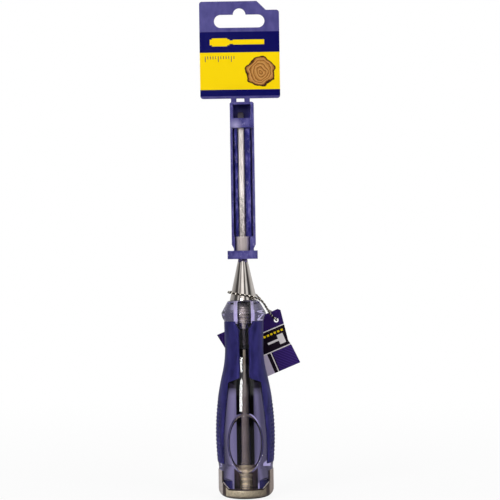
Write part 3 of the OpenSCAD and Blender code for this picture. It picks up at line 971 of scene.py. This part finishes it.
def cast_steel():
    """Satin cap steel with painted light, lit at the front's left and shaded towards the right, painted
    shadow lines where it meets the handle, painted shade on its lower rim and a painted highlight on the
    chamfer.
    """
    material, tree = new_material("cast_steel", {"Metallic": 0.5})
    grain = noise(tree, EVEN, 1.2, 5, 0.65)
    x, _, z = split_axes(place(tree))
    sideways = calc("ABSOLUTE", x)
    height = calc("ADD", z, spread(grain, -RIM_WAVER, RIM_WAVER))
    slant = calc("SUBTRACT", calc("SUBTRACT", sideways, z), SLANT_LINE)
    slant = calc("DIVIDE", slant, sqrt(2))
    beside = calc("MAXIMUM", calc("SUBTRACT", sideways, CAP_HALF), slant)
    outward = calc("MAXIMUM", beside, calc("SUBTRACT", CAP_FLOOR, z))
    # Painted light on the front and painted shade on the ears, both darker towards the right
    front = over(colour(226, 210, 182), spread(x, 0, 0.8, LIT_X, CAP_HALF), colour(84, 70, 66))
    to_right = spread(x, 0, 1, -CAP_HALF, CAP_HALF)
    shaded_ears = over(colour(224, 212, 208), to_right, colour(186, 170, 162))
    tint = over(front, spread(sideways, 0, 1, CAP_HALF, CAP_HALF + EAR_SOFT), shaded_ears)
    # Painted shadow in the seams between the ears and the handle
    tint = over(tint, faded_band(sideways, *SEAM_SHADOW), colour(84, 70, 70))
    # Painted shade on the lower rim
    tint = over(tint, spread(height, 0.9, 0, *RIM_SHADE), colour(62, 50, 52))
    # Painted shadow line along the edges next to the handle
    line = spread(outward, 1, 0, EDGE_SHADOW_REACH, EDGE_SHADOW_REACH + EDGE_SHADOW_SOFT)
    tint = over(tint, line, colour(58, 46, 48))
    # Painted highlight along the chamfer
    bright = panel((slant, z), -CHAMFER_HIGHLIGHT, CHAMFER_HIGHLIGHT, CAP_FLOOR, CAP_FLOOR + CAP_CHAMFER)
    tint = over(tint, bright, colour(230, 218, 212))
    speckle = spread(noise(tree, (1, 1, 0.6), 0.9, 4, 0.7), 0.68, 1.2)
    dress(brightened(tint, speckle), grain, (0.3, 0.5), 0.08)
    return material


def clear_plastic():
    """Tinted clear plastic, with painted shade in the corners under the step of the grips."""
    material, tree = new_material("clear_violet_plastic", {"Transmission Weight": 1, "IOR": CLEAR_IOR})
    x, _, z = split_axes(place(tree))
    beside = spread(calc("ABSOLUTE", x), 0, 1, *STEP_SHADE_SIDE)
    below = both(calc("LESS_THAN", z, STEP_Z + CORNER_EASE), spread(z, 0, 1, *STEP_SHADE))
    # Painted shade in the window's corners under the step
    tint = over(WHITE, both(beside, below), PAINTED_SHADE)
    dress(tint, noise(tree, (1, 1, 0.3), 0.25, 2), (0.015, 0.05), 0.008)
    volume = add_node(tree, "ShaderNodeVolumeAbsorption", {"Color": CLEAR_TINT, "Density": CLEAR_DENSITY})
    tree.links.new(volume.outputs[0], tree.nodes["Material Output"].inputs["Volume"])
    return material


def soft_rubber(name, dark, light):
    """Moulded rubber with a fine leathery grain."""
    settings = {"Specular IOR Level": 0.2, "Sheen Weight": 0.1, "Sheen Roughness": 0.4}
    material, tree = new_material(name, settings)
    tint = tones(noise(tree, (1, 1, 0.3), 0.25, 4), [(0.3, dark), (0.7, light)])
    dress(tint, noise(tree, EVEN, 3.5, 4, 0.6), (0.45, 0.62), 0.06)
    return material


def moulded_plastic(name, tone):
    """Moulded plastic with a fine grain, in the colours of a function."""
    material, tree = new_material(name, {"Specular IOR Level": 0.2})
    dress(tone(tree), noise(tree, EVEN, 2.5), (0.28, 0.4), 0.02)
    return material


def plate_tone(tree):
    """Violet-blue with faint flow marks."""
    return tones(noise(tree, (1, 1, 0.5), 0.2, 4), [(0.3, (62, 58, 118)), (0.7, (84, 79, 140))])


def guard_tone(tree):
    """Mottled and scuffed violet-blue, darker at the flange's ends, with painted shade in the channel and
    its pocket, a painted shadow beside the blade, painted light in a corner and a painted highlight on the
    bridge.
    """
    low, high = node_box("blade_guard")
    flange_top = low.z + FLANGE_H
    wall = GUARD_SHIFT + CHANNEL_HALF
    floor_half = CHANNEL_HALF - CORNER_W
    rim_y = RIM_EDGE - GUARD_FRONT
    x, y, z = split_axes(place(tree))
    mottle = noise(tree, (1, 1, 0.5), 0.35, 5)
    tint = tones(mottle, [(0.34, (52, 49, 110)), (0.5, (72, 68, 130)), (0.68, (94, 89, 148))])
    sideways = calc("ABSOLUTE", calc("SUBTRACT", x, GUARD_SHIFT))
    flange = calc("LESS_THAN", z, flange_top)
    ends = both(flange, spread(sideways, 0, 0.7, *FLANGE_END))
    tint = over(tint, ends, colour(38, 38, 96))
    # Painted light in the channel's right corner, against its shadow
    corner = faded_band(x, wall - CORNER_W, wall, CORNER_SOFT)
    corner = both(corner, calc("GREATER_THAN", y, rim_y))
    tint = over(tint, corner, colour(150, 144, 206))
    inside = panel((sideways, y), -floor_half, floor_half, rim_y, high.y - RIM_EDGE)
    inside = both(inside, within(z, flange_top, high.z))
    pocket = both(inside, calc("GREATER_THAN", z, high.z - POCKET_H))
    patches = noise(tree, (1, 1, 0.35), 0.35, 4)
    # Painted shade down in the channel, mottled, and deepest in the pocket
    channel_shade = tones(patches, [(0.38, (24, 22, 104)), (0.52, (66, 62, 146)), (0.66, (136, 128, 196))])
    # Painted shadow of the blade
    channel_shade = over(channel_shade, faded_band(x, *BLADE_SHADE, BLADE_SHADE_SOFT), colour(14, 10, 62))
    channel_shade = over(channel_shade, both(pocket, POCKET_SHADE), colour(30, 28, 104))
    tint = over(tint, inside, channel_shade)
    scuffs = spread(noise(tree, EVEN, 0.45, 5, 0.65), 0, 0.6, 0.58, 0.74)
    scuffs = both(scuffs, calc("SUBTRACT", 1, pocket))
    # Painted highlight on the bridge, laid with the pale scuffs
    shine = spread(distance(tree, BRIDGE_SHINE), 0.75, 0, 0, SHINE_R)
    return over(tint, calc("MAXIMUM", scuffs, shine), colour(176, 170, 208))


def printed(name, draw, rough):
    """Coated print, a little wavy, in the colours of a drawing function."""
    material, tree = new_material(name, {"Specular IOR Level": 0.08})
    fibres = noise(tree, EVEN, 4)
    dress(brightened(draw(tree), spread(fibres, 0.92, 1)), fibres, rough)
    roughen(noise(tree, EVEN, 0.15, 2), 0.1)
    return material


def draw_log_end(tree, under, centre):
    """A sawn log end with its year rings and bark, laid over a colour."""
    wobble = spread(noise(tree, EVEN, 0.16, 2), -LOG_WOBBLE, LOG_WOBBLE)
    radius = calc("ADD", distance(tree, centre), wobble)
    ring = calc("FRACT", calc("DIVIDE", radius, RING_PITCH))
    early, late, line = (206, 152, 84), (176, 118, 58), (110, 64, 26)
    wood = tones(ring, [(0, early), (0.55, late), (0.85, line), (1, early)])
    disc = over(under, calc("LESS_THAN", radius, LOG_R), BARK)
    return over(disc, calc("LESS_THAN", radius, LOG_R - BARK_T), wood)


def draw_label(tree):
    """A yellow field between navy bands, with a chisel, a scale and a log end."""
    low, high = node_box("label")
    axes = print_axes(tree, (0, 0, low.z), (1, 0, 0), (0, 0, 1))
    header_z = high.z - low.z - HEADER_H
    middle = header_z + HEADER_H / 2
    scale_z = header_z - SCALE_DROP
    tint = over(NAVY, within(axes[1], FOOTER_H, header_z), YELLOW)
    for left, right, half in CHISEL_SIGN:
        tint = over(tint, panel(axes, left, right, middle - half, middle + half), YELLOW)
    for pitch, length in SCALE_TICKS:
        marks = stripes(calc("SUBTRACT", axes[0], SCALE_LEFT), pitch, TICK_W)
        area = panel(axes, SCALE_LEFT, SCALE_RIGHT, scale_z - length, scale_z)
        tint = over(tint, both(marks, area), NAVY)
    return draw_log_end(tree, tint, (LOG_X, low.y, low.z + LOG_RISE))


def draw_tag(tree):
    """Violet and black fields between white lines, with a mallet, dashes and hatching."""
    turn = radians(TAG_TILT)
    axes = print_axes(tree, TAG_HOLE, (cos(turn), 0, sin(turn)), (-sin(turn), 0, cos(turn)))
    across, up = axes
    foot = calc("LESS_THAN", up, BAND_LOW)
    hatch = stripes(calc("ADD", across, up), HATCH_PITCH, HATCH_W)
    tint = over(VIOLET, both(hatch, foot), LIGHT_VIOLET)
    tint = over(tint, within(up, BAND_LOW, BAND_HIGH), BLACK)
    for edge, field in ((SIDE_PANEL, BLACK), (PALE_CORNER, PALE_VIOLET)):
        tint = over(tint, both(foot, calc("LESS_THAN", across, edge)), field)
    side_line = within(across, SIDE_PANEL - 2 * LINE_W, SIDE_PANEL - LINE_W)
    tint = over(tint, both(foot, side_line), PAPER)
    for line in (BAND_LOW, BAND_HIGH):
        tint = over(tint, within(up, line - LINE_W / 2, line + LINE_W / 2), PAPER)
    dashes = both(stripes(across, DASH_PITCH, DASH_W), panel(axes, *DASH_BOX))
    tint = over(tint, dashes, YELLOW)
    for box in MALLET_SIGN:
        tint = over(tint, panel(axes, *box), PAPER)
    return tint


# Finishes of the pieces

def paint(piece, *materials):
    """Gives a piece its materials, the first of them all over."""
    piece.data.materials.clear()
    for material in materials:
        piece.data.materials.append(material)


def finish_chain(chain, clasp):
    """Bright beads with painted shade on their ends, on links painted dark for the shade between beads; link
    faces are larger.
    """
    bead_metal = steel("bead_metal", (236, 228, 212), (250, 244, 230), (0.1, 0.2), depth=0.005)
    # Painted shade: dark metal for the links and the beads' ends
    shaded_link_metal = steel("shaded_link_metal", (34, 28, 24), (54, 46, 40), (0.2, 0.3), depth=0.005)
    paint(clasp, bead_metal)
    paint(chain, bead_metal, shaded_link_metal)
    for i, face in enumerate(chain.data.polygons):
        ring = i // BEAD_SIDES % BEAD_RINGS
        if face.area > LARGEST_BEAD_FACE * MM * MM or ring in SHADED_BEAD_ENDS:
            face.material_index = 1


def finish_grip(grip, rubber, lining):
    """Rubber outside, and a paler lining where the grip is bonded to the handle."""
    paint(grip, rubber, lining)
    for face in grip.data.polygons:
        middle = face.center / MM
        if hypot(middle.x, middle.y) < handle_radius(middle.z, GRIP_T) + FIT:
            face.material_index = 1


def lay_reflection_film(core, film, low, high, clear=FILM_CLEAR):
    """Lays a painted reflection film in the bore between two heights, beside the share that is left clear.
    """
    if film.name not in core.data.materials:
        core.data.materials.append(film)
    slot = core.data.materials.find(film.name)
    for face in core.data.polygons:
        middle = face.center / MM
        radius = hypot(middle.x, middle.y)
        in_bore = radius < ANCHOR_R + 2 * FIT and low < middle.z < high
        if in_bore and not clear[0] < middle.x / radius < clear[1]:
            face.material_index = slot


def finish_core(core):
    """Clear plastic, with painted reflection films in its bores for what their walls mirror."""
    tang_top = handle_top - 2 * FIT
    paint(core, clear_plastic())
    # Painted reflection of the brassy anchor on its bore's sides
    lay_reflection_film(core, painted_reflection_film("anchor_reflection_film", (92, 76, 66), (120, 102, 90)), foot_z, anchor_top)
    # Painted dark reflection on the bore's sides beside the rod, and right of the tang
    black_reflection_film = painted_reflection_film("black_reflection_film", (1, 1, 2), (4, 3, 6))
    lay_reflection_film(core, black_reflection_film, anchor_top + FIT, tang_z - FIT)
    lay_reflection_film(core, black_reflection_film, tang_z, tang_top, TANG_DARK_SIDE)
    # Painted pale reflection on the tang bore's outer sides
    pale_reflection_film = painted_reflection_film("pale_reflection_film", (226, 218, 236), (244, 238, 250))
    lay_reflection_film(core, pale_reflection_film, tang_z, tang_top, TANG_PALE_SIDE)


def finish_inner_steel(rod, sleeve, anchor):
    """Rod with painted shade at its sides and its top under the sleeve, dark sleeve and yellow anchor."""
    rod_top = node_box("tang_sleeve")[0].z
    # Painted shade on the rod just under the sleeve, and down its sides
    shade_under_sleeve = ("Z", *(rod_top - drop for drop in ROD_DARK_TOP))
    paint(rod, steel("bright_rod", (172, 163, 127), (190, 180, 140), (0.12, 0.2), (1, 1, 0.05),
                     bands=[*ROD_SHADES, shade_under_sleeve]))
    paint(sleeve, steel("dark_sleeve", (72, 66, 62), (96, 88, 84), (0.3, 0.45), depth=0.02))
    paint(anchor, steel("brassy_anchor", (212, 200, 134), (236, 222, 160), (0.15, 0.28), (0.1, 0.1, 1),
                        metallic=0.75))


def finish_blade(blade):
    """One material up to each height: tang, cone, shoulder, blade and bevel."""
    # Painted shadow on the tang under the cone, and painted shade down its sides
    shade_under_cone = ("Z", *(handle_top - drop for drop in TANG_DARK_TOP))
    knurled = steel("knurled_tang", (164, 156, 134), (246, 238, 212), (0.2, 0.4), patch_scale=0.5,
                    bands=[*TANG_SHADES, shade_under_cone])
    polished = steel("polished_steel", (214, 205, 198), (230, 223, 217), (0.01, 0.03), (0.1, 0.1, 1), 3,
                     depth=0.0001)
    # Honed bevel with painted shade, for the tip's shade down in the guard's pocket
    honed_shaded = steel("honed_bevel_in_shade", (62, 56, 66), (84, 78, 86), (0.45, 0.55), (1, 0.1, 0.1), 1.5,
                  depth=0.005, metallic=0.2)
    neck_z = cone_top + NECK_LEN / 2
    shoulder_top = cone_top + NECK_LEN + SHOULDER_LEN
    bevel_z = node_box("blade")[1].z - BLADE_T / tan(radians(BEVEL_ANGLE))
    tops = [handle_top, neck_z, shoulder_top, bevel_z, inf]
    paint(blade, knurled, polished, satin_steel(), ground_steel(), honed_shaded)
    for face in blade.data.polygons:
        height = face.center.z / MM
        face.material_index = next(i for i, top in enumerate(tops) if height <= top)


def ease_edges(node, width):
    """Rounds the edges of a CAD node's object with modifiers. Its own mesh stays as it is."""
    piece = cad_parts[node]
    weld = piece.modifiers.new("weld", "WELD")
    weld.merge_threshold = 1e-6
    flats = piece.modifiers.new("flats", "DECIMATE")
    flats.decimate_type = "DISSOLVE"
    flats.angle_limit = radians(0.5)
    bevel = piece.modifiers.new("bevel", "BEVEL")
    bevel.width = width * MM
    bevel.segments = 2
    bevel.limit_method = "ANGLE"
    bevel.angle_limit = radians(35)
    piece.modifiers.new("normals", "WEIGHTED_NORMAL")


def finish_nodes(rubber):
    """Finishes and eased edges of the CAD nodes that are shown as they are."""
    finishes = {"strike_cap": cast_steel(), "cap_cushion": rubber,
                "blade_guard": moulded_plastic("guard_plastic", guard_tone),
                "hanger_plate": moulded_plastic("plate_plastic", plate_tone),
                "label": printed("label_print", draw_label, (0.3, 0.4)),
                "hang_tag": printed("tag_print", draw_tag, (0.35, 0.5))}
    for node, finish in finishes.items():
        paint(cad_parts[node], finish)
    for node, width in EASED_EDGES:
        ease_edges(node, width)


# Studio

def studio_angle(direction):
    """Angle round the horizon of a direction, 0 in front and plus to the right."""
    x, y, _ = split_axes(direction)
    return calc("ARCTAN2", x, calc("MULTIPLY", y, -1))


def studio_ramp(angle, stops):
    """Brightness at an angle round the horizon, from stops in degrees."""
    share = spread(angle, 0, 1, -pi, pi)
    return shades(share, [((180 + where) / 360, grey(level)) for where, level in stops])


def lit_box(view, under, box, level):
    """A brightness laid over a studio inside a box of degrees."""
    return over(under, panel(view, *(radians(edge) for edge in box)), grey(level))


def risen(elevation, rise):
    """0 below the first of two elevations in degrees and 1 above the second."""
    return spread(elevation, 0, 1, *(radians(edge) for edge in rise))


def layered(base, layers):
    """A shader with others over it, each by its share."""
    for share, shader in layers:
        base = fed("ShaderNodeMixShader", {0: share, 1: base, 2: shader}).outputs[0]
    return base


def build_world():
    """White behind the object, soft light all round, and a studio in reflections."""
    world = bpy.data.worlds.new("studio")
    bpy.context.scene.world = world
    world.use_nodes = True
    tree = world.node_tree
    tree.nodes.clear()
    glow = lambda tint, strength=1: add_node(
        tree, "ShaderNodeBackground", {"Color": tint, "Strength": strength}).outputs[0]
    direction = add_node(tree, "ShaderNodeTexCoord").outputs["Generated"]
    angle = studio_angle(direction)
    elevation = calc("ARCSINE", split_axes(direction)[2])
    view = (angle, elevation)
    mirrored = studio_ramp(angle, REFLECTED_STUDIO)
    mirrored = lit_box(view, mirrored, FLAG_BOX, FLAG_LEVEL)
    mirrored = lit_box(view, mirrored, STRIP_BOX, STRIP_LEVEL)
    mirrored = over(mirrored, risen(elevation, CEILING_RISE), grey(CEILING_LEVEL))
    mirrored = over(mirrored, risen(elevation, ZENITH_RISE), grey(ZENITH_LEVEL))
    sky = studio_ramp(angle, SEEN_SKY)
    seen = over(studio_ramp(angle, SEEN_FAR), risen(elevation, SKY_RISE), sky)
    for box in BACK_BOXES:
        seen = lit_box(view, seen, box, BACK_LEVEL)
    path = add_node(tree, "ShaderNodeLightPath").outputs
    scattered = calc("MINIMUM", path["Diffuse Depth"], 1)
    seen = over(seen, scattered, grey(INNER_LEVEL))
    layers = [(path["Is Glossy Ray"], glow(mirrored)), (path["Is Transmission Ray"], glow(seen)),
              (path["Is Camera Ray"], glow(WHITE))]
    add_node(tree, "ShaderNodeOutputWorld", {"Surface": layered(glow(WHITE, AMBIENT), layers)})


def build_lamp(name, where, size, power):
    """A soft box aimed at the object's middle, neither mirrored in it nor seen through it."""
    data = bpy.data.lights.new(name, "AREA")
    data.size = size
    data.energy = power
    lamp = new_object(name, data)
    lamp.location = where
    aim = Vector((0, 0, cad_high.z / 2)) - lamp.location
    lamp.rotation_euler = aim.to_track_quat("-Z", "Y").to_euler()
    lamp.visible_glossy = False
    lamp.visible_transmission = False


def build_floor():
    """A wide pale floor, white to the camera, that keeps the object's soft shadow."""
    mesh = bpy.data.meshes.new("floor")
    half = FLOOR_HALF * MM
    corners = [(-half, -half, 0), (half, -half, 0), (half, half, 0), (-half, half, 0)]
    mesh.from_pydata(corners, [], [(0, 1, 2, 3)])
    floor = new_object("floor", mesh)
    material = bpy.data.materials.new("pale_floor")
    material.use_nodes = True
    tree = material.node_tree
    tree.nodes.clear()
    glow = lambda tint: add_node(tree, "ShaderNodeEmission", {"Color": tint}).outputs[0]
    point = add_node(tree, "ShaderNodeTexCoord").outputs["Object"]
    away = between("LENGTH", point, (0, 0, 0), "Value")
    card = add_node(tree, "ShaderNodeBsdfDiffuse", {"Color": grey(FLOOR_LEVEL)}).outputs[0]
    seen = studio_ramp(studio_angle(point), SEEN_NEAR)
    path = add_node(tree, "ShaderNodeLightPath").outputs
    to_camera = both(path["Is Camera Ray"], spread(away, *FLOOR_GLOW, *GLOW_REACH))
    layers = [(path["Is Glossy Ray"], glow(grey(FLOOR_MIRRORED))), (path["Is Transmission Ray"], glow(seen)),
              (to_camera, glow(WHITE))]
    add_node(tree, "ShaderNodeOutputMaterial", {"Surface": layered(card, layers)})
    paint(floor, material)


# The whole scene
build_camera()
build_world()
for lamp in LAMPS:
    build_lamp(*lamp)
build_floor()

clasp = build_clasp()
finish_chain(build_chain(), clasp)
finish_core(build_core())
rubber = soft_rubber("blue_rubber", (22, 19, 74), (48, 43, 114))
lining = soft_rubber("bonded_rubber", (74, 70, 150), (100, 96, 180))
finish_grip(build_grip("soft_grip_right", 1, "grip_right"), rubber, lining)
finish_grip(build_grip("soft_grip_left", -1, "grip_left"), rubber, lining)
finish_inner_steel(build_rod(), build_sleeve(), build_anchor())
finish_blade(build_blade())
finish_nodes(rubber)

bpy.context.scene.view_settings.view_transform = "Standard"
